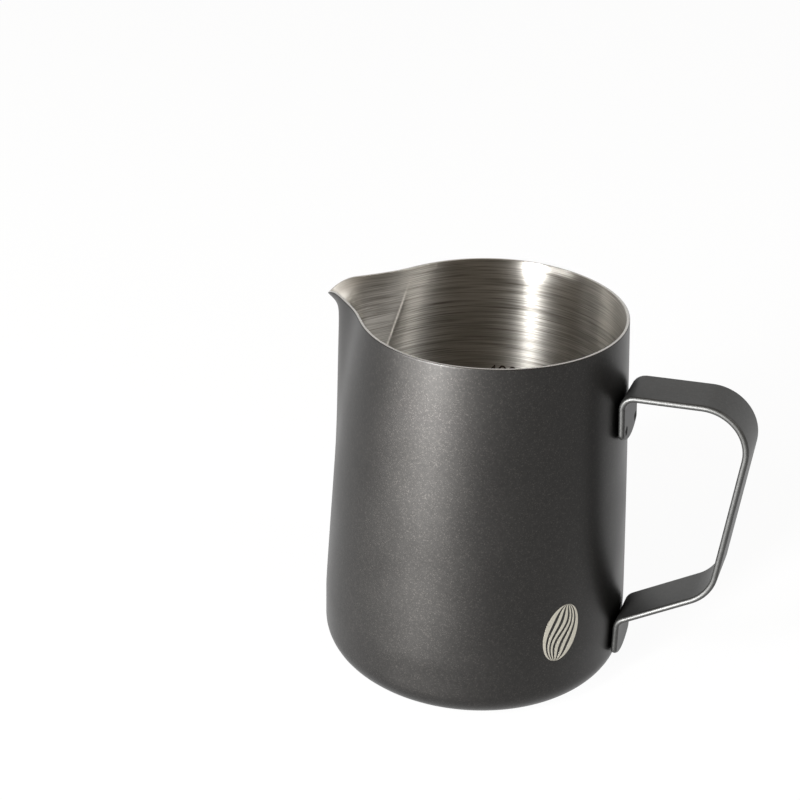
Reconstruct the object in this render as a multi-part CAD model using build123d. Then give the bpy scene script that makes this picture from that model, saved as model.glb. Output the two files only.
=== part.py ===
"""Milk frothing pitcher: a drawn steel cup with a pinched spout, and a strap handle spot-welded to it.

Frame: origin at the centre of the flat base, +Z up, the handle towards +X and the spout towards -X.
The object is symmetric about the XZ plane. All lengths are in millimetres and all angles in degrees.
"""
from build123d import *

import math
import os

# Cup
HEIGHT = 110.0
BELLY_RADIUS = 45.75
BELLY_TOP = 18.0
RIM_RADIUS = 40.05
TAPER_POWER = 1.08
CORNER_RADIUS = 8.0
WALL = 0.9

# Spout: a rounded ridge up the wall, flattened cheeks beside it, and a pointed beak at the very rim
SPOUT_LENGTH = 60.0
RIDGE_REACH = 4.0
RIDGE_POWER = 1.3
RIDGE_ANGLE = 20.0
RIDGE_SHARPNESS = 2.5
RIDGE_NARROWING = 0.3
CHEEK_DEPTH = 3.4
CHEEK_POWER = 2.1
CHEEK_SPREAD = 1.5
BEAK_REACH = 4.8
BEAK_ANGLE = 8.4
BEAK_DEPTH = 1.9
BEAK_DROP = 2.9
BEAK_DROP_ANGLE = 6.9
LIP_FALL_RUN = 5.8
LIP_FALL_ANGLE = 62.0

# Levels that the wall is lofted through, as parts of the height, closer together near the beak
LEVELS = (0.0, 0.08, 0.16, 0.25, 0.35, 0.45, 0.55, 0.64, 0.72, 0.8, 0.86, 0.905, 0.935, 0.957, 0.975, 1.01, 1.024)
HALF_POINTS = 22
POINT_CROWDING = 1.5

# Strap handle, its centre line drawn in the XZ plane
STRAP_WIDTH = 16.0
STRAP_THICKNESS = 1.8
STRAP_EDGE_RADIUS = 0.85
UPPER_BEND_BELOW_RIM = 16.5
UPPER_TAB_LENGTH = 15.3
GRIP_TOP_REACH = 39.0
GRIP_TOP_RISE = 2.1
LOWER_BEND_HEIGHT = 20.3
LOWER_TAB_LENGTH = 13.5
GRIP_BOTTOM_REACH = 27.0
GRIP_BOTTOM_RISE = 16.2
TAB_BEND_RADIUS = 3.6
GRIP_TOP_RADIUS = 12.6
GRIP_BOTTOM_RADIUS = 12.9
TAB_END_RADIUS = 12.0
TAB_GAP = 0.15

# Spot welds, two in each tab
WELD_RADIUS = 1.2
WELD_SPACING = 10.4
WELD_ABOVE_END = 4.2
WELD_FIT = 0.03
DIMPLE_DEPTH = 0.2

# Heights worked out from the above
SPOUT_FOOT = HEIGHT - SPOUT_LENGTH
UPPER_BEND_HEIGHT = HEIGHT - UPPER_BEND_BELOW_RIM
UPPER_TAB_END = UPPER_BEND_HEIGHT - UPPER_TAB_LENGTH
LOWER_TAB_END = LOWER_BEND_HEIGHT - LOWER_TAB_LENGTH


def wall_radius(z):
    """Outer radius of the round cup at height z, before its bottom corner is rounded."""
    rise = max(z - BELLY_TOP, 0.0) / (HEIGHT - BELLY_TOP)
    return BELLY_RADIUS - (BELLY_RADIUS - RIM_RADIUS) * rise**TAPER_POWER


def lip_height(angle):
    """Height of the lip at an angle from the spout's middle: level, but for the drop of the beak."""
    return HEIGHT - BEAK_DROP * math.exp(-((angle / BEAK_DROP_ANGLE) ** 2))


def outer_radius(angle, z):
    """Outer radius of the cup with its spout, at an angle from the spout's middle and a height."""
    rise = min(max((z - SPOUT_FOOT) / SPOUT_LENGTH, 0.0), 1.0)
    cheek = CHEEK_DEPTH * rise**CHEEK_POWER
    ridge = RIDGE_REACH * (1 - (1 - rise) ** RIDGE_POWER) + cheek
    width = RIDGE_ANGLE * (1 - RIDGE_NARROWING * (1 - rise))
    radius = wall_radius(z) + ridge * math.exp(-((angle / width) ** RIDGE_SHARPNESS))
    if angle < 90:
        radius -= cheek * math.cos(math.radians(angle)) ** CHEEK_SPREAD
    below_lip = max(lip_height(angle) - z, 0.0)
    return radius + BEAK_REACH * math.exp(-((angle / BEAK_ANGLE) ** 2) - below_lip / BEAK_DEPTH)


def section_points(z, inset):
    """Points round the cup at height z, moved inwards square to the outline by the inset."""
    half = [180 * (i / HALF_POINTS) ** POINT_CROWDING for i in range(HALF_POINTS + 1)]
    angles = [-angle for angle in reversed(half[1:-1])] + half
    outline = []
    for angle in angles:
        turn = math.radians(180 - angle)
        radius = outer_radius(abs(angle), z)
        outline.append(Vector(radius * math.cos(turn), radius * math.sin(turn), z))
    moved = []
    for i, point in enumerate(outline):
        along = outline[(i + 1) % len(outline)] - outline[i - 1]
        inwards = Vector(along.Y, -along.X, 0).normalized()
        moved.append(point + inwards * inset)
    return moved


def filled_cup(inset):
    """Solid of the cup's form with a rounded bottom corner, its wall and base moved in by the inset."""
    heights = [max(level * HEIGHT, inset) for level in LEVELS]
    wires = [Wire(Spline(*section_points(z, inset), periodic=True)) for z in heights]
    form = Solid.make_loft(wires)
    return fillet(form.edges().group_by(Axis.Z)[0], CORNER_RADIUS - inset)


def above_lip():
    """Everything above the lip, to be cut away: level, then falling in one arc to the beak's tip."""
    tip = outer_radius(0.0, lip_height(0.0))
    radius = (LIP_FALL_RUN**2 + BEAK_DROP**2) / (2 * BEAK_DROP)
    centre = Vector(LIP_FALL_RUN - tip, HEIGHT - radius)
    arc = CenterArc(centre, radius, 90, LIP_FALL_ANGLE)
    far = 2 * tip
    top = HEIGHT + far
    rest = Polyline(arc @ 1, (-far, (arc @ 1).Y), (-far, top), (far, top), (far, HEIGHT), arc @ 0)
    side = make_face([arc, *rest.edges()])
    return extrude(Plane.XZ * side, amount=far, both=True)


def cup_shell():
    """The drawn cup: its outer form less its inner form, trimmed to the lip."""
    return filled_cup(0.0) - filled_cup(WALL) - above_lip()


def strap_path():
    """Centre line of the strap: up the upper tab, round the grip, and down the lower tab."""
    stand_off = TAB_GAP + STRAP_THICKNESS / 2
    upper_tab = [(wall_radius(z) + stand_off, z) for z in (UPPER_TAB_END, UPPER_BEND_HEIGHT)]
    lower_tab = [(wall_radius(z) + stand_off, z) for z in (LOWER_BEND_HEIGHT, LOWER_TAB_END)]
    grip_top = (RIM_RADIUS + GRIP_TOP_REACH, UPPER_BEND_HEIGHT + GRIP_TOP_RISE)
    grip_bottom = (BELLY_RADIUS + GRIP_BOTTOM_REACH, LOWER_BEND_HEIGHT + GRIP_BOTTOM_RISE)
    radii = (TAB_BEND_RADIUS, GRIP_TOP_RADIUS, GRIP_BOTTOM_RADIUS, TAB_BEND_RADIUS)
    return Plane.XZ * FilletPolyline(*upper_tab, grip_top, grip_bottom, *lower_tab, radius=radii)


def tab_end_waste(z):
    """What is cut from the end of a tab, so that the end is an arc with its lowest point at height z."""
    block = Pos(BELLY_RADIUS, 0, z) * Box(STRAP_WIDTH, 2 * STRAP_WIDTH, 2 * TAB_END_RADIUS)
    disc = Rot(0, 90, 0) * Cylinder(TAB_END_RADIUS, 2 * STRAP_WIDTH)
    return block - Pos(BELLY_RADIUS, 0, z + TAB_END_RADIUS) * disc


def weld_places():
    """Name of each spot weld, and the y and z of its axis, which lies along X."""
    places = {}
    for tab, end in (("upper", UPPER_TAB_END), ("lower", LOWER_TAB_END)):
        for side, y in (("left", -WELD_SPACING / 2), ("right", WELD_SPACING / 2)):
            places[f"{tab}_weld_{side}"] = (y, end + WELD_ABOVE_END)
    return places


def weld_rod(y, z, radius):
    """Rod along X on a spot weld's axis, from inside the cup to outside the tab."""
    return Pos(BELLY_RADIUS, y, z) * Rot(0, 90, 0) * Cylinder(radius, 2 * STRAP_WIDTH)


def strap_handle():
    """The bent strap, with rounded long edges, rounded tab ends and a hole for each spot weld."""
    path = strap_path()
    across = Plane(path @ 0, x_dir=(0, 1, 0), z_dir=path % 0)
    section = across * RectangleRounded(STRAP_WIDTH, STRAP_THICKNESS, STRAP_EDGE_RADIUS)
    strap = sweep(section, path=path)
    for end in (UPPER_TAB_END, LOWER_TAB_END):
        strap -= tab_end_waste(end)
    for y, z in weld_places().values():
        strap -= weld_rod(y, z, WELD_RADIUS + WELD_FIT)
    return strap


def spot_weld(y, z, cup):
    """One weld nugget, from the cup's wall to just under the tab's outer face, where it is dimpled."""
    outer_face = wall_radius(z) + TAB_GAP + STRAP_THICKNESS - DIMPLE_DEPTH
    block_size = 2 * STRAP_WIDTH
    beyond = Pos(outer_face + block_size / 2, 0, z) * Box(block_size, block_size, block_size)
    pieces = weld_rod(y, z, WELD_RADIUS) - beyond - cup
    return pieces.solids().sort_by(Axis.X)[-1]


if __name__ == "__main__":
    os.makedirs("parts", exist_ok=True)
    cup = cup_shell()
    export_step(cup, "parts/cup_shell.step")
    export_step(strap_handle(), "parts/strap_handle.step")
    for name, (y, z) in weld_places().items():
        export_step(spot_weld(y, z, cup), f"parts/{name}.step")
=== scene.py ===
"""Milk frothing pitcher: a coated steel cup that is bare inside, its strap handle, spot welds and marks.

Frame, in metres: origin at the centre of the flat base, +Z up, handle towards +X and spout towards -X.
"""

import math

import bmesh
import bpy
import numpy as np
from bpy.props import FloatProperty, PointerProperty, StringProperty
from mathutils import Matrix, Vector


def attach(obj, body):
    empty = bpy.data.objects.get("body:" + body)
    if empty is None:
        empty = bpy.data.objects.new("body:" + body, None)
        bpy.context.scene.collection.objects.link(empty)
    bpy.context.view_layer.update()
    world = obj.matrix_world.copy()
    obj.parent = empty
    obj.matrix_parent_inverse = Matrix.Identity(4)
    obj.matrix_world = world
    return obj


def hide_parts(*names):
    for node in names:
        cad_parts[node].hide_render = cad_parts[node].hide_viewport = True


bl_info = {
    "name": "Milk frothing pitcher",
    "version": (1, 0, 0),
    "blender": (4, 5, 0),
    "location": "3D View > Sidebar > Pitcher",
    "description": "Builds a coated steel milk pitcher with a strap handle, and a plain studio round it",
    "category": "Add Mesh",
}

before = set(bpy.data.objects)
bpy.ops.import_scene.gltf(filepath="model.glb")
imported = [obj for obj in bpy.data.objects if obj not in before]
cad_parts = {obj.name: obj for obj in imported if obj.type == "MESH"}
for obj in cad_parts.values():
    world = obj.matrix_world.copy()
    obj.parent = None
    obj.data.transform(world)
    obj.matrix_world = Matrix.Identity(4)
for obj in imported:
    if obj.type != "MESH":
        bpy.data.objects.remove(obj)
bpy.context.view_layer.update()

BODY = "root"
MM = 0.001
MILLILITRE = 1e-6

# How finely each shape is divided
CUP_COLUMNS = 440
BASE_ROWS = 12
FOOT_ROWS = 5
CORNER_ROWS = 11
WALL_ROWS = 68
WALL_CROWDING = 1.35
RIM_ROWS = 9
STRAP_TIP_ROWS = 22
STRAP_CORNER_ROWS = 8
STRAP_MIDDLE_ROWS = 150
STRAP_FACE_COLUMNS = 61
STRAP_EDGE_COLUMNS = 11
NUGGET_SIDES = 48
STRIPE_ROWS = 61
TICK_ROWS = 13

# How finely each running sum is worked out, and how often a gap is halved
ANGLE_STEPS = 4001
STRAP_STEPS = 20001
LEVEL_STEPS = 2001
HALVINGS = 40


def length(name, description, millimetres):
    """A size in metres whose default is given in millimetres."""
    traits = {"subtype": "DISTANCE", "unit": "LENGTH", "precision": 5}
    return FloatProperty(name=name, description=description, default=millimetres * MM, **traits)


def turn(name, description, degrees):
    """An angle whose default is given in degrees."""
    traits = {"subtype": "ANGLE", "unit": "ROTATION"}
    return FloatProperty(name=name, description=description, default=math.radians(degrees), **traits)


def share(name, description, value):
    """A plain number, such as a share or a power."""
    return FloatProperty(name=name, description=description, default=value, precision=3)


def hex_colour(name, description, value):
    """An sRGB colour written as hex text."""
    return StringProperty(name=name, description=description, default=value)


class PITCHER_PG_cup(bpy.types.PropertyGroup):
    """Sizes of the drawn cup and its spout"""

    height: length("Height", "From the base to the level part of the rim", 110.0)
    belly_radius: length("Belly radius", "Outer radius of the straight foot of the wall", 45.75)
    belly_top: length("Belly top", "Height at which the wall starts to draw in", 18.0)
    rim_radius: length("Rim radius", "Outer radius at the rim, away from the spout", 40.05)
    taper_power: share("Taper power", "How the wall draws in: 1 is a straight cone", 1.08)
    corner_radius: length("Corner radius", "Outer radius of the corner round the base", 8.0)
    wall: length("Wall", "Thickness of the sheet", 0.9)
    base_dish: length("Base dish", "How far the middle of the base is pressed in", 0.35)
    base_foot: length("Base foot", "Width of the flat ring the cup stands on", 3.2)
    base_edge: share("Base edge", "Share of the pressed middle that is level", 0.86)
    rim_round: length("Rim rounding", "Depth of the ground rounding on the rim", 0.24)
    rim_square: share("Rim squareness", "1 gives a half round rim and less gives a squarer one", 0.72)
    spout_length: length("Spout length", "From the rim down to the foot of the spout", 60.0)
    ridge_reach: length("Ridge reach", "How far the spout stands out of the round wall", 4.0)
    ridge_power: share("Ridge power", "How the spout's ridge rises from its foot", 1.3)
    ridge_angle: turn("Ridge angle", "Half width of the ridge at the rim, seen from the axis", 20.0)
    ridge_sharpness: share("Ridge sharpness", "How sharply the ridge leaves the wall", 2.5)
    ridge_narrowing: share("Ridge narrowing", "How much narrower the ridge is at its foot", 0.3)
    cheek_depth: length("Cheek depth", "How far the wall is pinched in beside the spout", 3.4)
    cheek_power: share("Cheek power", "How the pinch grows towards the rim", 2.1)
    cheek_spread: share("Cheek spread", "How the pinch fades round the cup", 1.5)
    beak_reach: length("Beak reach", "How far the pouring tip flares at the lip", 6.0)
    beak_softness: share("Beak softness", "How softly the flare starts at the lip: less is softer", 3.0)
    beak_angle: turn("Beak angle", "Half width of the pouring tip, seen from the axis", 8.4)
    beak_depth: length("Beak depth", "How far below the lip the flare has faded", 1.9)
    beak_drop: length("Beak drop", "How far the tip lies below the rim", 2.9)
    beak_drop_angle: turn("Beak drop angle", "Half width of the drop, seen from the axis", 6.9)
    lip_fall_run: length("Lip fall run", "Distance over which the lip falls to the tip", 5.8)
    crease_lift: length("Crease lift", "How far the fold beside the spout stands into the cup", 0.24)
    crease_near: turn("Crease near side", "Over which the fold falls away towards the spout", 1.0)
    crease_far: turn("Crease far side", "Over which the fold falls away from the spout", 3.0)
    # The line on the fold is a painted highlight, and this is its half width
    crease_bright: turn("Crease line", "Half width of the burnished line on the fold", 0.5)
    crease_round: turn("Crease rounding", "Of the fold's own ridge, seen from the axis", 0.3)
    crease_low: length("Crease low", "A height at which the fold's place is given", 85.0)
    crease_low_angle: turn("Crease low angle", "The fold's place there, from the spout", 24.0)
    crease_high: length("Crease high", "The height where the fold fades out", 101.0)
    crease_high_angle: turn("Crease high angle", "The fold's place there, from the spout", 31.0)


class PITCHER_PG_handle(bpy.types.PropertyGroup):
    """Sizes of the strap handle and its welds"""

    width: length("Strap width", "Across the strap", 16.0)
    thickness: length("Strap thickness", "Of the strip", 1.8)
    edge_radius: length("Edge radius", "Of the rolled long edges", 0.85)
    upper_bend: length("Upper bend", "Height where the strap leaves the upper tab", 93.5)
    upper_end: length("Upper end", "Lowest point of the upper tab", 78.2)
    lower_bend: length("Lower bend", "Height where the strap meets the lower tab", 20.3)
    lower_end: length("Lower end", "Lowest point of the lower tab", 6.8)
    grip_top_x: length("Grip top reach", "From the axis to the grip's upper corner", 79.04)
    grip_top_z: length("Grip top height", "Height of the grip's upper corner", 95.6)
    grip_bottom_x: length("Grip bottom reach", "From the axis to the grip's lower corner", 72.75)
    grip_bottom_z: length("Grip bottom height", "Height of the grip's lower corner", 36.5)
    tab_bend_radius: length("Tab bend radius", "Where the strap leaves a tab", 3.6)
    grip_top_radius: length("Grip top radius", "Of the grip's upper corner", 12.6)
    grip_bottom_radius: length("Grip bottom radius", "Of the grip's lower corner", 12.9)
    end_radius: length("Tab end radius", "Of the arc that ends a tab", 12.0)
    end_corner: length("Tab corner radius", "Where the end arc meets the long edges", 1.6)
    tab_gap: length("Tab gap", "Between a tab and the wall behind it", 0.15)
    weld_radius: length("Weld radius", "Of a spot weld", 1.2)
    weld_spacing: length("Weld spacing", "Between the two spot welds of a tab", 10.4)
    weld_above_end: length("Weld above end", "From a tab's end to its welds", 4.2)
    well_depth: length("Weld well", "Depth of the electrode's dent in the tab", 0.5)
    well_margin: length("Well margin", "How far the dent reaches past its weld", 0.12)
    well_slope: length("Well slope", "Over which the dent falls to its full depth", 0.22)


class PITCHER_PG_marks(bpy.types.PropertyGroup):
    """Sizes of the lasered bean and of the filling marks"""

    bean_angle: turn("Bean place", "Round the cup from the handle", -38.7)
    bean_height: length("Bean height above base", "To the bean's middle", 27.0)
    bean_length: length("Bean length", "Of the lasered bean", 18.0)
    bean_width: length("Bean width", "Of the lasered bean", 11.6)
    bean_lean: turn("Bean lean", "Away from upright", -14.0)
    bean_crease: length("Bean crease", "How far the crease swings to each side", 1.5)
    bean_ends: share("Bean ends", "How near the stripes come to the poles: 1 is all the way", 0.94)
    stripe_gap: length("Stripe gap", "Between two stripes at the bean's waist", 0.95)
    ink_lift: length("Mark thickness", "Of the marks over the wall", 0.03)
    scale_angle: turn("Filling marks place", "Round the cup from the handle", 99.5)
    digit_height: length("Digit height", "Of the filling marks", 4.6)
    digit_gap: length("Digit gap", "Between a number and the filling mark below it", 0.8)
    tick_width: length("Tick width", "Stroke of a filling mark", 0.55)
    tick_length: length("Tick length", "Of a filling mark", 5.0)


class PITCHER_PG_finish(bpy.types.PropertyGroup):
    """Colours of the finishes, as sRGB hex"""

    coat: hex_colour("Coat", "Graphite of the baked coat", "#2A2928")
    coat_flake: hex_colour("Coat flake", "Lighter metal flakes in the coat", "#3A3836")
    # The strap wears the same coat as the cup; its paler colours are painted sheen, standing in for the
    # brighter light the strap catches
    strap_coat: hex_colour("Strap coat", "The coat as it looks on the strap, a little paler", "#3E3E3D")
    strap_flake: hex_colour("Strap flake", "Lighter metal flakes in the strap's coat", "#494948")
    # The coat over each spot weld is given a darker colour than the coat round it
    weld_coat: hex_colour("Weld coat", "The coat over a spot weld, burnt darker", "#1B1A1A")
    steel: hex_colour("Steel", "Bare 304 stainless steel", "#C9C6C0")
    steel_dark: hex_colour("Steel brush lines", "Darker lines between the brush strokes", "#7F7B74")
    # A painted highlight: near white steel colour along the fold, standing in for the light the fold catches
    burnished: hex_colour("Burnished steel", "Steel that the press has burnished along the fold", "#FBF8F0")
    ground: hex_colour("Ground rim", "Steel where the rim was ground through the coat", "#D2D0CC")
    bared: hex_colour("Bared steel", "Light warm grey of the lasered bean", "#BAB6AA")
    etch: hex_colour("Etched marks", "Dark oxide of the laser etched filling marks", "#2B241F")
    floor: hex_colour("Floor", "Pale paper", "#D8D8D8")


class PITCHER_PG_studio(bpy.types.PropertyGroup):
    """Camera and room"""

    focal: length("Focal length", "Of the camera's lens", 71.47)
    sensor: length("Sensor width", "Of the camera's sensor", 36.0)
    eye_x: length("Camera x", "Place of the camera", 122.3)
    eye_y: length("Camera y", "Place of the camera", -396.5)
    eye_z: length("Camera z", "Place of the camera", 288.3)
    heading: turn("Camera heading", "Turned from looking along +Y", 20.5)
    elevation: turn("Camera elevation", "How far the camera looks down", 26.647)
    roll: turn("Camera roll", "How far the camera leans", 1.345)
    room: hex_colour("Room", "Dim warm grey of the room behind the lamps", "#9C9286")


# Geometry of the cup


def wall_radius(cup, z):
    """Outer radius of the round wall: the belly radius, then falling by a power law to the rim."""
    rise = np.clip(z - cup.belly_top, 0, None) / (cup.height - cup.belly_top)
    return cup.belly_radius - (cup.belly_radius - cup.rim_radius) * rise**cup.taper_power


def outer_radius(cup, angle, z):
    """Outer radius with the spout: the round wall, plus a bell-shaped ridge, less a cosine-shaped pinch
    beside it, plus a narrow bell at the lip that fades exponentially downwards. The angle is from the
    spout's middle."""
    rise = np.clip((z - (cup.height - cup.spout_length)) / cup.spout_length, 0, 1)
    cheek = cup.cheek_depth * rise**cup.cheek_power
    ridge = cup.ridge_reach * (1 - (1 - rise) ** cup.ridge_power) + cheek
    width = cup.ridge_angle * (1 - cup.ridge_narrowing * (1 - rise))
    radius = wall_radius(cup, z) + ridge * np.exp(-((np.abs(angle) / width) ** cup.ridge_sharpness))
    radius = radius - cheek * np.clip(np.cos(angle), 0, None) ** cup.cheek_spread
    lip = cup.height - cup.beak_drop * np.exp(-((angle / cup.beak_drop_angle) ** 2))
    # The fade starts softly, so that the flare has no edge where it meets the lip
    fade = np.logaddexp(0, cup.beak_softness * (lip - z) / cup.beak_depth) / cup.beak_softness
    return radius + cup.beak_reach * np.exp(-((angle / cup.beak_angle) ** 2) - fade)


def beside_crease(cup, angle, z):
    """Angle from the fold at the foot of the spout's ridge, which is a line that leans away from the spout
    on its way up, and the share of the fold at this height. The share is a product of two soft steps: one
    ends the fold near the rim and the other half-way down the spout."""
    along = (z - cup.crease_low) / (cup.crease_high - cup.crease_low)
    middle = cup.crease_low_angle + (cup.crease_high_angle - cup.crease_low_angle) * along
    below_rim = 0.5 - 0.5 * np.tanh((along - 1) / 0.2)
    above_foot = 0.5 + 0.5 * np.tanh((along + 0.8) / 0.3)
    return np.abs(angle) - middle, below_rim * above_foot


def crease(cup, angle, z):
    """How far the fold stands into the cup: a rounded ridge that falls exponentially on both sides."""
    beside, fade = beside_crease(cup, angle, z)
    away = np.hypot(beside, cup.crease_round) - cup.crease_round
    return cup.crease_lift * fade * np.exp(-away / np.where(beside < 0, cup.crease_near, cup.crease_far))


def wall_points(cup, angle, z, inset=0.0):
    """Points of the wall at an angle from the spout and a height, moved in square to the outline by the
    inset. The outline's normal is the radius turned by the slope of the radius against the angle."""
    step = 1e-4
    radius = outer_radius(cup, angle, z)
    slope = (outer_radius(cup, angle + step, z) - outer_radius(cup, angle - step, z)) / (2 * step)
    size = np.hypot(radius, slope)
    out, side = radius / size, -slope / size
    a, b = radius - inset * out, -inset * side
    x = -(a * np.cos(angle) - b * np.sin(angle))
    y = a * np.sin(angle) + b * np.cos(angle)
    return np.stack([x, y, z + 0 * x], axis=-1)


def lip_level(cup, x):
    """Height of the lip at x: level, then falling in one arc over the last stretch before the tip."""
    tip = outer_radius(cup, np.zeros(1), np.array([cup.height - cup.beak_drop]))[0]
    arc = (cup.lip_fall_run**2 + cup.beak_drop**2) / (2 * cup.beak_drop)
    # Past the tip the arc is stopped before it turns upright
    past = np.clip(cup.lip_fall_run - tip - x, 0, 0.98 * arc)
    return cup.height - arc + np.sqrt(arc**2 - past**2)


def lip_height(cup, angle, inset):
    """Height where the wall, moved in by the inset, meets the lip, found by halving a gap."""
    low = np.full(angle.shape, cup.height - 3 * cup.beak_drop)
    high = np.full(angle.shape, cup.height)
    for _ in range(HALVINGS):
        middle = (low + high) / 2
        above = middle > lip_level(cup, wall_points(cup, angle, middle, inset)[..., 0])
        low, high = np.where(above, low, middle), np.where(above, middle, high)
    return (low + high) / 2


def column_angles(cup):
    """Angles of the columns round the cup, from the spout: equal steps of the running sum of a density that
    is 1 away from the spout, with a bell 8 high at the pouring tip and a bell 7 high at each fold."""
    fold = (cup.crease_low_angle + cup.crease_high_angle) / 2
    fine = np.linspace(0, math.pi, ANGLE_STEPS)
    tip_bell = np.exp(-((fine / cup.beak_angle) ** 2))
    fold_bell = np.exp(-(((fine - fold) / (0.6 * cup.beak_angle)) ** 2))
    density = 1 + 8 * tip_bell + 7 * fold_bell
    steps = np.linspace(0, 1, CUP_COLUMNS // 2 + 1)
    half = np.interp(steps, np.cumsum(density) / density.sum(), fine)
    half[0], half[-1] = 0, math.pi
    return np.concatenate([-half[::-1][:-1], half[:-1]])


def rings(radii, heights, angle):
    """Level rings of points about the axis, one for each radius and height."""
    x = -radii[:, None] * np.cos(angle)
    y = radii[:, None] * np.sin(angle)
    return np.stack([x, y, heights[:, None] + 0 * x], axis=-1)


def cup_side(cup, angle, inset):
    """Rows of points from near the middle of the base to just under the lip, moved in by the inset: a
    pressed middle that falls to the foot by a cosine, the foot, a quarter round, and the wall, with its
    levels closer together towards the lip."""
    straight = cup.belly_radius - cup.corner_radius
    pressed = straight - cup.base_foot
    # The innermost ring is at 8% of the pressed middle
    radii = np.concatenate(
        [
            np.linspace(0.08, 1, BASE_ROWS) * pressed,
            pressed + np.linspace(1 / FOOT_ROWS, 1, FOOT_ROWS) * cup.base_foot,
        ]
    )
    fall = np.clip((radii / pressed - cup.base_edge) / (1 - cup.base_edge), 0, 1)
    base = rings(radii, inset + cup.base_dish * (0.5 + 0.5 * np.cos(math.pi * fall)), angle)
    bend = np.linspace(0, math.pi / 2, CORNER_ROWS + 1)[1:]
    corner = cup.corner_radius - inset
    round_rows = rings(straight + corner * np.sin(bend), cup.corner_radius - corner * np.cos(bend), angle)
    top = lip_height(cup, angle, inset) - cup.rim_round
    up = 1 - np.linspace(1, 0, WALL_ROWS)[1:, None] ** WALL_CROWDING
    z = cup.corner_radius + (top - cup.corner_radius) * up
    angles = np.broadcast_to(angle, z.shape)
    fold = crease(cup, angles, z) if inset > 0 else 0
    return np.concatenate([base, round_rows, wall_points(cup, angles, z, inset + fold)])


def rim_rows(cup, angle):
    """Rows over the rim, from outside to inside: a rounded square section, carried round the lip."""
    outer_top, inner_top = lip_height(cup, angle, 0.0), lip_height(cup, angle, cup.wall)
    crest = (wall_points(cup, angle, outer_top) + wall_points(cup, angle, inner_top, cup.wall)) / 2
    outer = wall_points(cup, angle, outer_top - cup.rim_round)
    inner = wall_points(cup, angle, inner_top - cup.rim_round, cup.wall)
    phase = np.linspace(0, math.pi, RIM_ROWS + 2)[1:-1, None, None]
    across = np.sign(np.cos(phase)) * np.abs(np.cos(phase)) ** cup.rim_square
    lift = np.sin(phase) ** cup.rim_square
    middle = (outer + inner) / 2
    return middle + (outer - inner) / 2 * across + (crest - middle) * lift


def path_length(rows):
    """Distance travelled from row to row, in metres."""
    steps = np.linalg.norm(np.diff(rows, axis=0), axis=-1)
    return np.concatenate([np.zeros((1, rows.shape[1])), np.cumsum(steps, axis=0)])


def quads(rows, columns, closed):
    """Corner numbers of the faces between neighbouring rows and columns of a grid, closed round or not."""
    index = np.arange(rows * columns).reshape(rows, columns)
    along = np.roll(index, -1, axis=1) if closed else index[:, 1:]
    here = index if closed else index[:, :-1]
    return np.stack([here[:-1], here[1:], along[1:], along[:-1]], axis=-1).reshape(-1, 4)


def fan(centre, ring):
    """Corner numbers of the faces from a centre point to a closed ring of points, in the ring's order."""
    return np.stack([np.full(len(ring), centre), ring, np.roll(ring, -1)], axis=-1).tolist()


def caps(rows, columns):
    """The two fans that close a grid at its first and last row. Their centres follow the grid's points."""
    ring = np.arange(columns)
    return fan(rows * columns, ring) + fan(rows * columns + 1, (rows - 1) * columns + ring[::-1])


def new_piece(name, points, faces, materials, face_material=None, slot_name="coated_steel"):
    """Make a mesh object from arrays of points and faces, shade it smooth, and let it ride on the body."""
    mesh = bpy.data.meshes.new(name)
    mesh.from_pydata(points.reshape(-1, 3).tolist(), [], faces)
    for material in materials:
        mesh.materials.append(material)
    if face_material is not None:
        mesh.polygons.foreach_set("material_index", np.asarray(face_material, dtype=np.int32))
    mesh.polygons.foreach_set("use_smooth", np.ones(len(mesh.polygons), dtype=bool))
    mesh.validate()
    mesh.update()
    piece = bpy.data.objects.new(name, mesh)
    bpy.context.scene.collection.objects.link(piece)
    if slot_name:
        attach(piece, BODY)
    return piece


def store(piece, name, kind, key, values, centres):
    """Keep a value at every point of a piece as an attribute: a grid's values, then its two centres'."""
    stored = piece.data.attributes.new(name, kind, "POINT")
    stored.data.foreach_set(key, np.append(values, centres).astype(np.float32))


def close_seams(piece):
    """Merge points that lie on each other and turn every face outwards."""
    work = bmesh.new()
    work.from_mesh(piece.data)
    bmesh.ops.remove_doubles(work, verts=work.verts, dist=0.002 * MM)
    bmesh.ops.dissolve_degenerate(work, dist=0.0001 * MM, edges=work.edges)
    bmesh.ops.recalc_face_normals(work, faces=work.faces)
    work.to_mesh(piece.data)
    work.free()
    piece.data.update()


def shade_flat(piece):
    """Shade every face flat, for the thin marks."""
    piece.data.polygons.foreach_set("use_smooth", np.zeros(len(piece.data.polygons), dtype=bool))
    piece.data.update()


# Geometry of the handle


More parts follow.
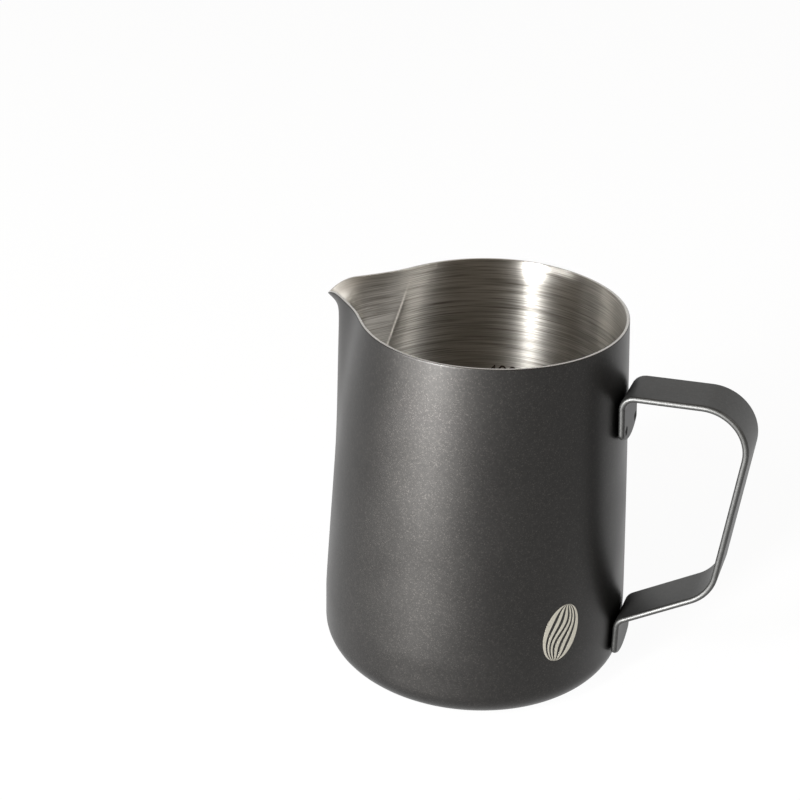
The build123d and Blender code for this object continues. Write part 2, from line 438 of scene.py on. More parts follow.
def strap_line(cup, handle):
    """The strap's centre line as (distance, x, z, heading): straight runs joined by arcs, so that the
    heading is constant on a run and changes evenly on an arc. The place is the running sum of the heading's
    cosine and sine."""
    stand_off = handle.tab_gap + handle.thickness / 2
    tab_heights = (handle.upper_end, handle.upper_bend, handle.lower_bend, handle.lower_end)
    tabs = [(wall_radius(cup, np.float64(z)) + stand_off, z) for z in tab_heights]
    grip_top = (handle.grip_top_x, handle.grip_top_z)
    grip_bottom = (handle.grip_bottom_x, handle.grip_bottom_z)
    corners = np.array([tabs[0], tabs[1], grip_top, grip_bottom, tabs[2], tabs[3]])
    tab_bend = handle.tab_bend_radius
    radii = np.array([tab_bend, handle.grip_top_radius, handle.grip_bottom_radius, tab_bend])
    runs = np.diff(corners, axis=0)
    headings = np.unwrap(np.arctan2(runs[:, 1], runs[:, 0]))
    turns = np.abs(np.diff(headings))
    tangents = radii * np.tan(turns / 2)
    stretches = np.empty(len(runs) + len(radii))
    stretches[0::2] = np.linalg.norm(runs, axis=1) - np.append(tangents, 0) - np.insert(tangents, 0, 0)
    stretches[1::2] = radii * turns
    stops = np.insert(np.cumsum(stretches), 0, 0)
    distance = np.linspace(0, stops[-1], STRAP_STEPS)
    heading = np.interp(distance, stops, np.repeat(headings, 2))
    between = (heading[1:] + heading[:-1]) / 2
    step = distance[1]
    x = corners[0, 0] + np.insert(np.cumsum(np.cos(between)) * step, 0, 0)
    z = corners[0, 1] + np.insert(np.cumsum(np.sin(between)) * step, 0, 0)
    return distance, x, z, heading


def on_strap(line, along, across, lift):
    """Place points by their distance along the strap, their distance across it and their lift off its
    middle surface. The lift is towards the side that faces away from the cup on the tabs, a right angle off
    the heading."""
    distance, x, z, heading = line
    angle = np.interp(along, distance, heading)
    out = np.interp(along, distance, x) + lift * np.sin(angle)
    up = np.interp(along, distance, z) - lift * np.cos(angle)
    return np.stack([out, across, up], axis=-1)


def strap_outline(handle, total, inset):
    """Half of the strap's flat outline, moved in by the inset: an end arc, a corner arc, the straight side
    and the same again. Returns the distance along and the half width at each station, as many for every
    inset."""
    end, corner, half = handle.end_radius, handle.end_corner, handle.width / 2
    slope = math.asin((half - corner) / (end - corner))
    corner_at = end - math.sqrt((end - corner) ** 2 - (half - corner) ** 2)
    tip = slope * np.linspace(0, 1, STRAP_TIP_ROWS)
    bend = slope + (math.pi / 2 - slope) * np.linspace(0, 1, STRAP_CORNER_ROWS + 1)[1:]
    near = np.concatenate([end - (end - inset) * np.cos(tip), corner_at - (corner - inset) * np.cos(bend)])
    wide = np.concatenate([(end - inset) * np.sin(tip), half - corner + (corner - inset) * np.sin(bend)])
    # Stations every quarter of a millimetre past the welds, and further apart between them
    fine = corner_at + np.arange(0.25, 6.0, 0.25) * MM
    coarse = np.linspace(fine[-1], total - fine[-1], STRAP_MIDDLE_ROWS)[1:-1]
    middle = np.concatenate([fine, coarse, total - fine[::-1]])
    along = np.concatenate([near, middle, total - near[::-1]])
    return along, np.concatenate([wide, np.full(len(middle), half - inset), wide[::-1]])


def weld_places(handle, total):
    """Name, distance along the strap and place across it of each spot weld."""
    places = {}
    for tab, along in (("upper", handle.weld_above_end), ("lower", total - handle.weld_above_end)):
        for side, across in (("left", -handle.weld_spacing / 2), ("right", handle.weld_spacing / 2)):
            places[f"{tab}_weld_{side}"] = (along, across)
    return places


def strap_points(cup, handle):
    """The strap as a section carried from tip to tip: a flat top, a rounded edge, a flat bottom and the
    other edge. On the edges the outline is moved in by the edge radius times one less the sine, so that the
    tips are rounded too. Each weld's well is a step down in the outer face, smooth like 3 s^2 - 2 s^3."""
    line = strap_line(cup, handle)
    total = line[0][-1]
    edge, top = handle.edge_radius, handle.thickness / 2
    face, side = np.ones(STRAP_FACE_COLUMNS), np.ones(STRAP_EDGE_COLUMNS)
    across_face = np.linspace(-1, 1, STRAP_FACE_COLUMNS)
    phase = np.linspace(0, math.pi, STRAP_EDGE_COLUMNS + 2)[1:-1]
    upper_half = top - edge * (1 - np.cos(phase))
    lower_half = -top + edge * (1 + np.cos(phase))
    fall = np.where(phase < math.pi / 2, upper_half, lower_half)
    inset = edge * (1 - np.sin(phase))
    insets = np.concatenate([edge * face, inset, edge * face, inset[::-1]])
    sides = np.concatenate([across_face, side, across_face[::-1], -side])
    lifts = np.concatenate([top * face, fall, -top * face, fall[::-1]])
    outlines = [strap_outline(handle, total, value) for value in insets]
    along = np.stack([outline[0] for outline in outlines], axis=1)
    across = sides * np.stack([outline[1] for outline in outlines], axis=1)
    lift = np.broadcast_to(lifts, along.shape).copy()
    for weld_along, weld_across in weld_places(handle, total).values():
        away = np.hypot(along - weld_along, across - weld_across)
        step = np.clip((handle.weld_radius + handle.well_margin - away) / handle.well_slope, 0, 1)
        lift -= np.where(lifts > 0, handle.well_depth * step**2 * (3 - 2 * step), 0)
    return on_strap(line, along, across, lift)


# Lasered and etched marks


def on_cup(cup, angle_from_handle, across, up, lift, inside=False):
    """Wrap a flat drawing on the round wall: across becomes a turn about the axis, read from outside or from
    inside, and the lift is along the radius, off the face that is looked at."""
    face = wall_radius(cup, up) + (-cup.wall - lift if inside else lift)
    angle = angle_from_handle + (-across if inside else across) / face
    return np.stack([face * np.cos(angle), face * np.sin(angle), up], axis=-1)


def bean_stripes(marks):
    """Stripes of a coffee bean: lines from end to end at even shares between its S-shaped crease and its
    elliptic edge, leaning together. The crease is a sine of the height. Each stripe is a strip between two
    such lines."""
    half_length, half_width = marks.bean_length / 2, marks.bean_width / 2
    up = half_length * np.sin(marks.bean_ends * np.linspace(-1, 1, STRIPE_ROWS) * math.pi / 2)
    edge = half_width * np.sqrt(np.clip(1 - (up / half_length) ** 2, 0, None))
    swing = marks.bean_crease * np.sin(math.pi * up / half_length) * np.sqrt(edge / half_width)
    gap = marks.stripe_gap / half_width / 2
    cosine, sine = math.cos(marks.bean_lean), math.sin(marks.bean_lean)
    stripes = []
    for side in (-1, 1):
        for inner, outer in ((0.0, 1 / 3), (1 / 3, 2 / 3), (2 / 3, 1.0)):
            shares = (inner + gap, outer - (gap if outer < 1 else 0))
            x = [swing + (side * edge - swing) * value for value in shares]
            stripes.append([np.stack([a * cosine - up * sine, a * sine + up * cosine], axis=-1) for a in x])
    return stripes


def strip_solid(sides, place, thickness):
    """A thin closed solid over a strip: a four-cornered section carried along it, with capped ends."""
    a, b = sides
    points = np.stack([place(a, thickness), place(b, thickness), place(b, 0.0), place(a, 0.0)], axis=1)
    faces = quads(len(a), 4, True).tolist()
    last = 4 * (len(a) - 1)
    faces += [[0, 1, 2, 3], [last + 3, last + 2, last + 1, last]]
    return points.reshape(-1, 3), faces


def joined(solids):
    """Put several lists of points and faces into one."""
    points, faces, start = [], [], 0
    for more_points, more_faces in solids:
        points.append(more_points)
        faces += [[start + corner for corner in face] for face in more_faces]
        start += len(more_points)
    return np.concatenate(points), faces


# Finishes


def linear(text, share_kept=1.0):
    """An sRGB hex colour as linear red, green, blue and alpha, by the sRGB standard's curve. The share kept
    makes it darker or lighter."""
    values = np.array([int(text[i : i + 2], 16) for i in (1, 3, 5)]) / 255
    values = np.where(values <= 0.04045, values / 12.92, ((values + 0.055) / 1.055) ** 2.4)
    return (*(share_kept * values).tolist(), 1.0)


def node(tree, kind, values=None, links=None, stops=None, **traits):
    """Add one node: traits are its own settings, values its sockets' numbers, links the sockets that feed
    it, and stops a colour ramp's two places and colours."""
    made = tree.nodes.new(kind)
    for trait, value in traits.items():
        setattr(made, trait, value)
    for socket, value in (values or {}).items():
        made.inputs[socket].default_value = value
    for socket, source in (links or {}).items():
        tree.links.new(source, made.inputs[socket])
    for number, (place, colour) in enumerate(stops or ()):
        made.color_ramp.elements[number].position = place
        made.color_ramp.elements[number].color = colour
    return made


def new_material(name):
    """An empty node material and its shader, joined to the output."""
    material = bpy.data.materials.new(name)
    material.use_nodes = True
    tree = material.node_tree
    tree.nodes.clear()
    shader = node(tree, "ShaderNodeBsdfPrincipled")
    node(tree, "ShaderNodeOutputMaterial", links={"Surface": shader.outputs[0]})
    return material, tree, shader


def coat_material(name, base, flake, roughness, gloss, gloss_roughness, grain):
    """Thin baked coat with fine metal flakes on satin-blasted steel: a dark satin that keeps soft
    reflections, with a broad glow from the flakes and a faint grain that sparkles."""
    material, tree, shader = new_material(name)
    place = node(tree, "ShaderNodeTexCoord").outputs["Object"]
    # Flakes of about 0.25 mm, drawn coarser than the real ones so that they show
    flakes = node(tree, "ShaderNodeTexVoronoi", {"Scale": 4200.0}, {"Vector": place}, feature="F1")
    # The mottle of the sprayed coat, about 1.2 mm across
    texture = {"Scale": 850.0, "Detail": 3.0, "Roughness": 0.6}
    mottle = node(tree, "ShaderNodeTexNoise", texture, {"Vector": place})
    # Broad unevenness over a few centimetres
    drift = node(tree, "ShaderNodeTexNoise", {"Scale": 45.0, "Detail": 2.0}, {"Vector": place})
    # Each flake has a number of its own, and only the highest ones catch the light
    chance = node(tree, "ShaderNodeSeparateColor", links={"Color": flakes.outputs["Color"]})
    stops = [(0.8, linear(base)), (1.0, linear(flake))]
    tone = node(tree, "ShaderNodeValToRGB", links={"Fac": chance.outputs[0]}, stops=stops)
    span = {"From Min": 0.3, "From Max": 0.7, "To Min": 0.9, "To Max": 1.1}
    dust = node(tree, "ShaderNodeMapRange", span, {"Value": mottle.outputs["Fac"]})
    # On a colour mix, input 0 is the factor, 6 and 7 are the two colours, and output 2 is the colour
    colours = {6: tone.outputs[0], 7: dust.outputs[0]}
    shade = node(tree, "ShaderNodeMix", {0: 1.0}, colours, data_type="RGBA", blend_type="MULTIPLY")
    span = {"From Min": 0.3, "From Max": 0.7, "To Min": roughness - 0.04, "To Max": roughness + 0.04}
    rough = node(tree, "ShaderNodeMapRange", span, {"Value": drift.outputs["Fac"]})
    # Grain of up to 0.04 mm, weakened by its strength
    raised = {"Height": mottle.outputs["Fac"]}
    bump = node(tree, "ShaderNodeBump", {"Strength": grain, "Distance": 0.04 * MM}, raised)
    tree.links.new(shade.outputs[2], shader.inputs["Base Color"])
    tree.links.new(rough.outputs[0], shader.inputs["Roughness"])
    tree.links.new(bump.outputs[0], shader.inputs["Normal"])
    shader.inputs["Metallic"].default_value = 1.0
    shader.inputs["Coat Weight"].default_value = gloss
    shader.inputs["Coat Roughness"].default_value = gloss_roughness
    return material


def brushed_material(finish):
    """Bare 304 stainless steel, brushed round the cup by a turning abrasive: fine lines that follow the
    circumference, and highlights drawn out into upright bands."""
    material, tree, shader = new_material("brushed_stainless_steel")
    # The attribute is (cosine, sine, distance in metres), so the first two scales are per radius of the cup
    lay = node(tree, "ShaderNodeAttribute", attribute_name="brush_lay").outputs["Vector"]
    # Strokes about 17 mm long and 0.3 mm apart
    place = node(tree, "ShaderNodeMapping", {"Scale": (2.4, 2.4, 3600.0)}, {"Vector": lay}).outputs[0]
    texture = {"Scale": 1.0, "Detail": 3.0, "Roughness": 0.55}
    fine = node(tree, "ShaderNodeTexNoise", texture, {"Vector": place}).outputs["Fac"]
    # Deeper strokes, about 25 mm long and 0.7 mm apart
    place = node(tree, "ShaderNodeMapping", {"Scale": (1.6, 1.6, 1500.0)}, {"Vector": lay}).outputs[0]
    texture = {"Scale": 1.0, "Detail": 2.0, "Roughness": 0.5}
    deep = node(tree, "ShaderNodeTexNoise", texture, {"Vector": place}).outputs["Fac"]
    # On a plain mix, input 0 is the factor, and 2 and 3 are the two numbers
    strokes = node(tree, "ShaderNodeMix", {0: 0.18}, {2: fine, 3: deep}, data_type="FLOAT").outputs[0]
    stops = [(0.3, linear(finish.steel_dark)), (0.6, linear(finish.steel))]
    tone = node(tree, "ShaderNodeValToRGB", links={"Fac": strokes}, stops=stops)
    span = {"From Min": 0.3, "From Max": 0.7, "To Min": 0.37, "To Max": 0.45}
    rough = node(tree, "ShaderNodeMapRange", span, {"Value": fine})
    # Strokes of up to 0.02 mm, weakened by their strength
    bump = node(tree, "ShaderNodeBump", {"Strength": 0.05, "Distance": 0.02 * MM}, {"Height": strokes})
    around = node(tree, "ShaderNodeTangent", direction_type="RADIAL", axis="Z")
    # Where the brushing is rubbed out there is no lay, and the reflections spread evenly
    worked = node(tree, "ShaderNodeAttribute", attribute_name="rubbed").outputs["Fac"]
    lined = node(tree, "ShaderNodeMapRange", {"To Min": 0.97, "To Max": 0.0}, {"Value": worked})
    dulled = node(tree, "ShaderNodeMix", {3: 0.5}, {0: worked, 2: rough.outputs[0]}, data_type="FLOAT")
    colours = {0: worked, 6: tone.outputs[0]}
    plain = node(tree, "ShaderNodeMix", {7: linear(finish.steel)}, colours, data_type="RGBA")
    # Painted highlight: the colour is mixed towards near white along the fold, standing in for the light it
    # catches
    fold = node(tree, "ShaderNodeAttribute", attribute_name="burnished").outputs["Fac"]
    colours = {0: fold, 6: plain.outputs[2]}
    painted_fold_line = node(tree, "ShaderNodeMix", {7: linear(finish.burnished)}, colours, data_type="RGBA")
    tree.links.new(painted_fold_line.outputs[2], shader.inputs["Base Color"])
    tree.links.new(dulled.outputs[0], shader.inputs["Roughness"])
    tree.links.new(lined.outputs[0], shader.inputs["Anisotropic"])
    tree.links.new(bump.outputs[0], shader.inputs["Normal"])
    tree.links.new(around.outputs[0], shader.inputs["Tangent"])
    shader.inputs["Metallic"].default_value = 1.0
    # A quarter turn draws the highlights out square to the strokes
    shader.inputs["Anisotropic Rotation"].default_value = 0.25
    return material


def ground_material(finish):
    """Stainless steel where the rim was ground after coating: a bright, fine-grained line."""
    material, tree, shader = new_material("ground_stainless_rim")
    place = node(tree, "ShaderNodeTexCoord").outputs["Object"]
    # Grinding grain of about 0.2 mm
    texture = {"Scale": 5000.0, "Detail": 3.0}
    grain = node(tree, "ShaderNodeTexNoise", texture, {"Vector": place}).outputs["Fac"]
    stops = [(0.3, linear(finish.steel_dark)), (0.6, linear(finish.ground))]
    tone = node(tree, "ShaderNodeValToRGB", links={"Fac": grain}, stops=stops)
    rough = node(tree, "ShaderNodeMapRange", {"To Min": 0.22, "To Max": 0.4}, {"Value": grain})
    tree.links.new(tone.outputs[0], shader.inputs["Base Color"])
    tree.links.new(rough.outputs[0], shader.inputs["Roughness"])
    shader.inputs["Metallic"].default_value = 1.0
    return material


def bared_material(finish):
    """Steel laid bare by a laser that burnt the coat away: a matt light grey, a little uneven."""
    material, tree, shader = new_material("laser_bared_steel")
    place = node(tree, "ShaderNodeTexCoord").outputs["Object"]
    # Unevenness of the burnt surface, about 0.5 mm
    film = node(tree, "ShaderNodeTexNoise", {"Scale": 2000.0, "Detail": 3.0}, {"Vector": place})
    stops = [(0.3, linear(finish.bared, 0.82)), (0.6, linear(finish.bared))]
    tone = node(tree, "ShaderNodeValToRGB", links={"Fac": film.outputs["Fac"]}, stops=stops)
    tree.links.new(tone.outputs[0], shader.inputs["Base Color"])
    shader.inputs["Roughness"].default_value = 0.5
    shader.inputs["Metallic"].default_value = 1.0
    return material


def etch_material(finish):
    """Laser-etched oxide on bare steel: a dark brown that is still a little metallic."""
    material, tree, shader = new_material("laser_etched_oxide")
    place = node(tree, "ShaderNodeTexCoord").outputs["Object"]
    # Level passes of the laser, about 0.2 mm apart
    waves = {"Scale": 1500.0, "Distortion": 1.0}
    passes = node(tree, "ShaderNodeTexWave", waves, {"Vector": place}, bands_direction="Z")
    stops = [(0.2, linear(finish.etch)), (0.9, linear(finish.etch, 1.8))]
    tone = node(tree, "ShaderNodeValToRGB", links={"Fac": passes.outputs["Fac"]}, stops=stops)
    tree.links.new(tone.outputs[0], shader.inputs["Base Color"])
    shader.inputs["Roughness"].default_value = 0.6
    shader.inputs["Metallic"].default_value = 0.3
    return material


# Operators


class PITCHER_OT_cup(bpy.types.Operator):
    """Build the drawn cup: coated outside, bare and brushed inside, with a ground rim"""

    bl_idname = "pitcher.cup"
    bl_label = "Cup"

    def execute(self, context):
        cup, finish = context.scene.pitcher_cup, context.scene.pitcher_finish
        angle = column_angles(cup)
        outside, rim = cup_side(cup, angle, 0.0), rim_rows(cup, angle)
        rows = np.concatenate([outside, rim, cup_side(cup, angle, cup.wall)[::-1]])
        centres = [[0, 0, cup.base_dish], [0, 0, cup.wall + cup.base_dish]]
        points = np.concatenate([rows.reshape(-1, 3), centres])
        faces = quads(len(rows), CUP_COLUMNS, True).tolist() + caps(len(rows), CUP_COLUMNS)
        # 0 is the coat, 1 the ground rim and 2 the brushed inside, and both others go 2 rows into the rim
        row = np.arange(len(rows) - 1)
        row_kind = np.where(row < len(outside) + 2, 0, np.where(row < len(outside) + len(rim) - 2, 1, 2))
        kind = np.repeat(np.append(row_kind, [0, 2]), CUP_COLUMNS)
        coat = coat_material(
            "baked_graphite_coat", finish.coat, finish.coat_flake,
            roughness=0.46, gloss=0.22, gloss_roughness=0.28, grain=0.12,
        )
        finishes = [coat, ground_material(finish), brushed_material(finish)]
        piece = new_piece("cup", points, faces, finishes, kind)
        # Measured from the middle of the inside, so that the brushing is round on the floor of the cup
        travelled = path_length(rows[::-1])[::-1]
        turned = np.arctan2(rows[..., 1], rows[..., 0])
        lay = np.stack([np.cos(turned), np.sin(turned), travelled], axis=-1)
        store(piece, "brush_lay", "FLOAT_VECTOR", "vector", lay, [0, 0, travelled[0].mean(), 0, 0, 0])
        # 1 at the pouring tip, where the brushing is rubbed out, falling to 0 a few millimetres away
        aside = (angle / (1.4 * cup.beak_angle)) ** 2
        below = ((cup.height - cup.beak_drop - rows[..., 2]) / (3 * cup.beak_depth)) ** 2
        store(piece, "rubbed", "FLOAT", "value", np.exp(-aside - below), [0, 0])
        # 1 along the fold, where a near white line is painted in as the highlight the fold catches
        beside, fade = beside_crease(cup, angle, rows[..., 2])
        painted_fold_line = fade * np.exp(-((beside / cup.crease_bright) ** 2))
        store(piece, "burnished", "FLOAT", "value", painted_fold_line, [0, 0])
        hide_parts("cup_shell")
        return {"FINISHED"}


class PITCHER_OT_handle(bpy.types.Operator):
    """Build the bent strap handle, with rounded edges, rounded tab ends and the wells of its welds"""

    bl_idname = "pitcher.handle"
    bl_label = "Strap handle"

    def execute(self, context):
        scene = context.scene
        cup, handle, finish = scene.pitcher_cup, scene.pitcher_handle, scene.pitcher_finish
        points = strap_points(cup, handle)
        faces = quads(points.shape[0], points.shape[1], True).tolist()
        # The cup's coat, painted paler as sheen for the light the strap catches
        coat = coat_material(
            "graphite_coat_with_painted_sheen_on_strap", finish.strap_coat, finish.strap_flake,
            roughness=0.52, gloss=0.25, gloss_roughness=0.4, grain=0.0,
        )
        piece = new_piece("handle_strap", points, faces, [coat], slot_name="coated_strap")
        close_seams(piece)
        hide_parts("strap_handle")
        return {"FINISHED"}


class PITCHER_OT_welds(bpy.types.Operator):
    """Build the four spot weld nuggets, each a small dished disc in the well of its tab"""

    bl_idname = "pitcher.welds"
    bl_label = "Spot welds"

    def execute(self, context):
        scene = context.scene
        cup, handle, finish = scene.pitcher_cup, scene.pitcher_handle, scene.pitcher_finish
        coat = coat_material(
            "baked_graphite_coat_on_weld", finish.weld_coat, finish.coat,
            roughness=0.5, gloss=0.12, gloss_roughness=0.4, grain=0.12,
        )
        line = strap_line(cup, handle)
        top = handle.thickness / 2
        # Profile of a nugget from its dished middle out and down: shares of the radius and depths below the
        # tab's face, and then the depths of the middles of its two faces
        radius = np.array([0.25, 0.5, 0.7, 0.84, 0.93, 0.98, 0.98, 0.9]) * handle.weld_radius
        depth = np.array([0.36, 0.32, 0.24, 0.16, 0.15, 0.22, 0.42, 0.45]) * MM
        middle_depth = np.array([0.37, 0.45]) * MM
        around = np.linspace(0, 2 * math.pi, NUGGET_SIDES, endpoint=False)
        for name, (weld_along, weld_across) in weld_places(handle, line[0][-1]).items():
            along = weld_along + radius[:, None] * np.cos(around)
            across = weld_across + radius[:, None] * np.sin(around)
            rows = on_strap(line, along, across, top - depth[:, None])
            middles = on_strap(line, np.full(2, weld_along), np.full(2, weld_across), top - middle_depth)
            points = np.concatenate([rows.reshape(-1, 3), middles])
            faces = quads(len(radius), NUGGET_SIDES, True).tolist() + caps(len(radius), NUGGET_SIDES)
            piece = new_piece("nugget_" + name, points, faces, [coat], slot_name="weld")
            close_seams(piece)
            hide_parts(name)
        return {"FINISHED"}


class PITCHER_OT_bean(bpy.types.Operator):
    """Build the lasered coffee bean on the outside of the cup"""

    bl_idname = "pitcher.bean"
    bl_label = "Lasered bean"

    def execute(self, context):
        scene = context.scene
        cup, marks, finish = scene.pitcher_cup, scene.pitcher_marks, scene.pitcher_finish

        def place(flat, lift):
            return on_cup(cup, marks.bean_angle, flat[:, 0], marks.bean_height + flat[:, 1], lift)

        points, faces = joined([strip_solid(sides, place, marks.ink_lift) for sides in bean_stripes(marks)])
        piece = new_piece("lasered_bean", points, faces, [bared_material(finish)])
        close_seams(piece)
        shade_flat(piece)
        return {"FINISHED"}


def levels_of(cup, volumes):
    """Heights to which volumes fill the cup, from the running sum of the inside's cross-sections."""
    level = np.linspace(cup.wall, cup.height, LEVEL_STEPS)
    inner_corner = cup.corner_radius - cup.wall
    below = np.clip(cup.corner_radius - level, 0, inner_corner)
    rounding = inner_corner - np.sqrt(inner_corner**2 - below**2)
    radius = wall_radius(cup, level) - cup.wall - rounding
    slices = math.pi * (radius[1:] ** 2 + radius[:-1] ** 2) / 2 * (level[1] - level[0])
    return np.interp(volumes, np.append(0, np.cumsum(slices)), level)


def flat_digits(text, height, thickness):
    """Points and faces of a number as a thin flat solid about its own middle surface, its foot at 0."""
    curve = bpy.data.curves.new("digits", "FONT")
    curve.body = text
    # A digit of this typeface is about 0.7 of its nominal size high
    curve.size = height / 0.7
    curve.align_x = "CENTER"
    curve.resolution_u = 6
    curve.extrude = thickness / 2
    shape = bpy.data.objects.new("digits", curve)
    bpy.context.scene.collection.objects.link(shape)
    bpy.context.view_layer.update()
    mesh = bpy.data.meshes.new_from_object(shape.evaluated_get(bpy.context.evaluated_depsgraph_get()))
    points = np.empty(3 * len(mesh.vertices))
    mesh.vertices.foreach_get("co", points)
    faces = [list(polygon.vertices) for polygon in mesh.polygons]
    bpy.data.objects.remove(shape)
    bpy.data.curves.remove(curve)
    bpy.data.meshes.remove(mesh)
    return points.reshape(-1, 3), faces


class PITCHER_OT_filling_marks(bpy.types.Operator):
    """Build the filling marks on the inside: a tick and a number of millilitres every 100 ml"""

    bl_idname = "pitcher.filling_marks"
    bl_label = "Filling marks"

    def execute(self, context):
        scene = context.scene
        cup, marks, finish = scene.pitcher_cup, scene.pitcher_marks, scene.pitcher_finish

        def place(flat, lift):
            return on_cup(cup, marks.scale_angle, flat[:, 0], flat[:, 1], lift, inside=True)

        solids = []
        thickness = 2 * marks.ink_lift
        volumes = np.array([100, 200, 300, 400])
        for volume, z in zip(volumes, levels_of(cup, volumes * MILLILITRE)):
            digits, faces = flat_digits(str(volume), marks.digit_height, thickness)
            # A digit lies a fifth of its thickness off the wall, clear of the wall's facets
            lift = digits[:, 2] + 0.7 * thickness
            solids.append((place(digits + np.array([0, z + marks.digit_gap, 0]), lift), faces))
            ends = np.linspace(-1, 1, TICK_ROWS) * marks.tick_length
            half = np.full(TICK_ROWS, marks.tick_width / 2)
            low, high = np.stack([ends, z - half], axis=-1), np.stack([ends, z + half], axis=-1)
            solids.append(strip_solid([low, high], place, thickness))
        points, faces = joined(solids)
        piece = new_piece("filling_marks", points, faces, [etch_material(finish)])
        close_seams(piece)
        shade_flat(piece)
        return {"FINISHED"}


def reflected_rays(tree):
    """The light path node, and 1 for rays that come off or through a shiny thing."""
    ray = node(tree, "ShaderNodeLightPath")
    kinds = {0: ray.outputs["Is Glossy Ray"], 1: ray.outputs["Is Transmission Ray"]}
    return ray, node(tree, "ShaderNodeMath", links=kinds, operation="MAXIMUM").outputs[0]


class PITCHER_OT_studio(bpy.types.Operator):
    """Lay the pale floor, hang the soft lamps and set the camera"""

    bl_idname = "pitcher.studio"
    bl_label = "Studio"

    def execute(self, context):
        scene, studio = context.scene, context.scene.pitcher_studio
        self.lay_floor(scene.pitcher_finish)
        self.light_room(scene, studio)
        self.hang_lamps(scene, studio)
        self.set_camera(scene, studio)
        scene.view_settings.view_transform = "Standard"
        return {"FINISHED"}

    def lay_floor(self, finish):
        """Pale paper, 8 m across and 0.2 mm under the cup. Seen directly or in a reflection it is white
        paper, on which the lamps still draw shadows."""
        side = np.linspace(-4, 4, 9)
        x, y = np.meshgrid(side, side, indexing="ij")
        points = np.stack([x, y, np.full(x.shape, -0.2 * MM)], axis=-1)
        material, tree, shader = new_material("matt_paper_floor")
        place = node(tree, "ShaderNodeTexCoord").outputs["Object"]
        # Fibres of about 1 mm
        fibre = node(tree, "ShaderNodeTexNoise", {"Scale": 900.0, "Detail": 2.0}, {"Vector": place})
        stops = [(0.3, linear(finish.floor, 0.985)), (0.7, linear(finish.floor))]
        tone = node(tree, "ShaderNodeValToRGB", links={"Fac": fibre.outputs["Fac"]}, stops=stops)
        tree.links.new(tone.outputs[0], shader.inputs["Base Color"])
        shader.inputs["Roughness"].default_value = 0.9
        ray, reflected = reflected_rays(tree)
        kinds = {0: ray.outputs["Is Camera Ray"], 1: reflected}
        seen = node(tree, "ShaderNodeMath", links=kinds, operation="MAXIMUM").outputs[0]
        # The share that is plain white leaves a twentieth for the shadows
        share_white = node(tree, "ShaderNodeMath", {1: 0.95}, {0: seen}, operation="MULTIPLY")
        white = node(tree, "ShaderNodeEmission", {"Color": linear("#FFFFFF"), "Strength": 1.0})
        layers = {0: share_white.outputs[0], 1: shader.outputs[0], 2: white.outputs[0]}
        mixed = node(tree, "ShaderNodeMixShader", links=layers)
        tree.links.new(mixed.outputs[0], tree.get_output_node("ALL").inputs["Surface"])
        faces = quads(len(side), len(side), False)[:, ::-1].tolist()
        new_piece("floor", points, faces, [material], slot_name=None)

    def light_room(self, scene, studio):
        """A dim room. The camera sees it white, and shiny things see a white backdrop behind the pitcher.
        The backdrop's edge is smooth: across the room it fades by the cosine from the camera's heading, and
        upwards by the height."""
        world = bpy.data.worlds.new("studio_room")
        scene.world = world
        world.use_nodes = True
        tree = world.node_tree
        tree.nodes.clear()
        room = node(tree, "ShaderNodeBackground", {"Color": linear(studio.room), "Strength": 1.0})
        white = node(tree, "ShaderNodeBackground", {"Color": linear("#FFFFFF"), "Strength": 1.0})
        look = node(tree, "ShaderNodeTexCoord").outputs["Generated"]
        ahead = {1: (-math.sin(studio.heading), math.cos(studio.heading), 0.0)}
        behind = node(tree, "ShaderNodeVectorMath", ahead, {0: look}, operation="DOT_PRODUCT")
        span = {"From Min": -0.15, "From Max": 0.35}
        across = node(tree, "ShaderNodeMapRange", span, {"Value": behind.outputs["Value"]})
        height = node(tree, "ShaderNodeSeparateXYZ", links={0: look}).outputs[2]
        low = node(tree, "ShaderNodeMapRange", {"From Min": 0.9, "From Max": 0.45}, {"Value": height})
        edges = {0: across.outputs[0], 1: low.outputs[0]}
        backdrop = node(tree, "ShaderNodeMath", links=edges, operation="MULTIPLY").outputs[0]
        ray, reflected = reflected_rays(tree)
        shown = node(tree, "ShaderNodeMath", links={0: reflected, 1: backdrop}, operation="MULTIPLY")
        kinds = {0: ray.outputs["Is Camera Ray"], 1: shown.outputs[0]}
        factor = node(tree, "ShaderNodeMath", links=kinds, operation="MAXIMUM")
        layers = {0: factor.outputs[0], 1: room.outputs[0], 2: white.outputs[0]}
        seen = node(tree, "ShaderNodeMixShader", links=layers)
        node(tree, "ShaderNodeOutputWorld", links={"Surface": seen.outputs[0]})

    def hang_lamps(self, scene, studio):
        """Area lamps aimed at the pitcher's middle: a key lamp low at the front left, so that it stays out
        of the cup, a tall narrow one above it that draws the bright band inside, a low wide card further
        left, and a thin one high at the right. Turns are from the camera, to the right as seen from it;
        angles are in degrees, sizes in metres and powers in watts."""
        aim = Vector((0.0, 0.0, scene.pitcher_cup.height / 2))
        # Turn, rise, distance, width, height and power of each
        lamps = {
            "key_softbox": (-40, 3.2, 1.4, 0.3, 0.22, 93),
            "upper_softbox": (-42, 32, 1.4, 0.16, 0.7, 26),
            "left_card": (-64, 1.6, 1.4, 0.55, 0.15, 26),
            "side_softbox": (73, 42, 1.6, 0.05, 0.9, 6.5),
        }
        for name, (turned, rise, distance, width, height, power) in lamps.items():
            azimuth, rise = studio.heading + math.radians(turned), math.radians(rise)
            level = Vector((math.sin(azimuth), -math.cos(azimuth), 0.0))
            away = level * math.cos(rise) + Vector((0.0, 0.0, math.sin(rise)))
            data = bpy.data.lights.new(name, "AREA")
            data.shape = "RECTANGLE"
            data.size, data.size_y = width, height
            data.energy = power
            holder = bpy.data.objects.new(name, data)
            facing = away.to_track_quat("Z", "Y").to_matrix().to_4x4()
            holder.matrix_world = Matrix.Translation(aim + away * distance) @ facing
            scene.collection.objects.link(holder)

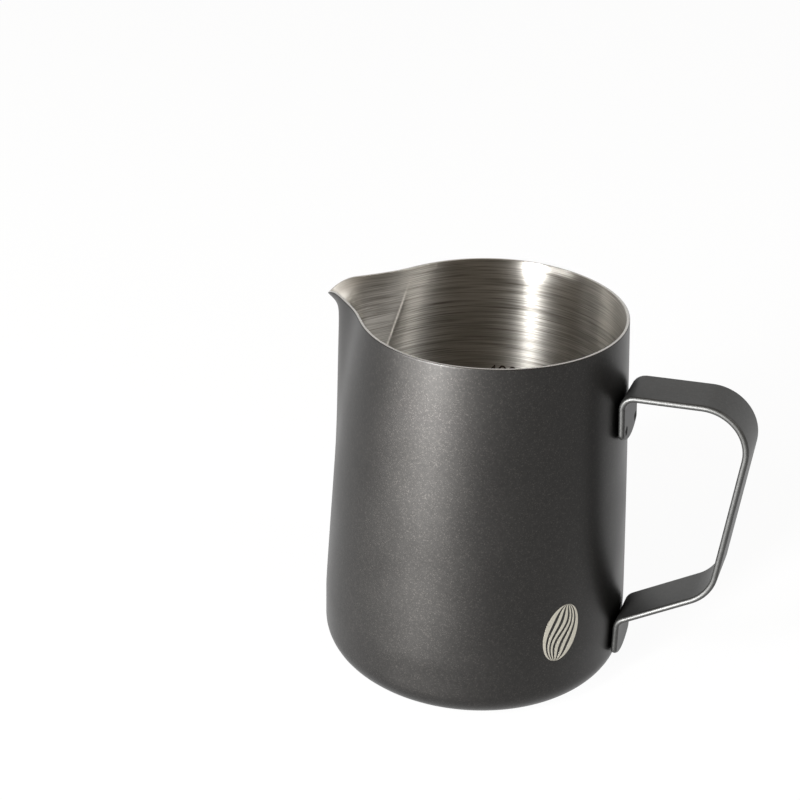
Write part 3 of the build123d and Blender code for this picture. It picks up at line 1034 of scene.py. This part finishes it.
    def set_camera(self, scene, studio):
        """Turn and tilt the camera about its own place: its right, up and back directions are worked out
        from the two angles, and the first two are then rolled."""
        heading, tilt, roll = studio.heading, studio.elevation, studio.roll
        right = Vector((math.cos(heading), math.sin(heading), 0.0))
        level = Vector((math.sin(heading), -math.cos(heading), 0.0))
        back = level * math.cos(tilt) + Vector((0.0, 0.0, math.sin(tilt)))
        up = back.cross(right)
        rolled_right = right * math.cos(roll) + up * math.sin(roll)
        rolled_up = up * math.cos(roll) - right * math.sin(roll)
        data = bpy.data.cameras.new("camera")
        data.sensor_width = studio.sensor / MM
        data.lens = studio.focal / MM
        data.clip_start = 0.01
        holder = bpy.data.objects.new("camera", data)
        place = Matrix((rolled_right, rolled_up, back)).transposed().to_4x4()
        place.translation = (studio.eye_x, studio.eye_y, studio.eye_z)
        holder.matrix_world = place
        scene.collection.objects.link(holder)
        scene.camera = holder


class PITCHER_PT_sidebar(bpy.types.Panel):
    """Lists the steps that build the pitcher"""

    bl_idname = "PITCHER_PT_sidebar"
    bl_label = "Pitcher"
    bl_space_type = "VIEW_3D"
    bl_region_type = "UI"
    bl_category = "Pitcher"

    def draw(self, context):
        for operator in OPERATORS:
            self.layout.operator(operator.bl_idname)


GROUPS = {
    "pitcher_cup": PITCHER_PG_cup,
    "pitcher_handle": PITCHER_PG_handle,
    "pitcher_marks": PITCHER_PG_marks,
    "pitcher_finish": PITCHER_PG_finish,
    "pitcher_studio": PITCHER_PG_studio,
}
OPERATORS = (
    PITCHER_OT_cup,
    PITCHER_OT_handle,
    PITCHER_OT_welds,
    PITCHER_OT_bean,
    PITCHER_OT_filling_marks,
    PITCHER_OT_studio,
)


def register():
    """Register every class and hang the settings on the scene."""
    for kind in (*GROUPS.values(), *OPERATORS, PITCHER_PT_sidebar):
        bpy.utils.register_class(kind)
    for name, group in GROUPS.items():
        setattr(bpy.types.Scene, name, PointerProperty(type=group))


def unregister():
    """Take the settings off the scene and unregister every class."""
    for name in GROUPS:
        delattr(bpy.types.Scene, name)
    for kind in (PITCHER_PT_sidebar, *reversed(OPERATORS), *reversed(GROUPS.values())):
        bpy.utils.unregister_class(kind)


def main():
    """Register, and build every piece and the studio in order."""
    register()
    bpy.ops.pitcher.cup()
    bpy.ops.pitcher.handle()
    bpy.ops.pitcher.welds()
    bpy.ops.pitcher.bean()
    bpy.ops.pitcher.filling_marks()
    bpy.ops.pitcher.studio()


if __name__ == "__main__":
    main()
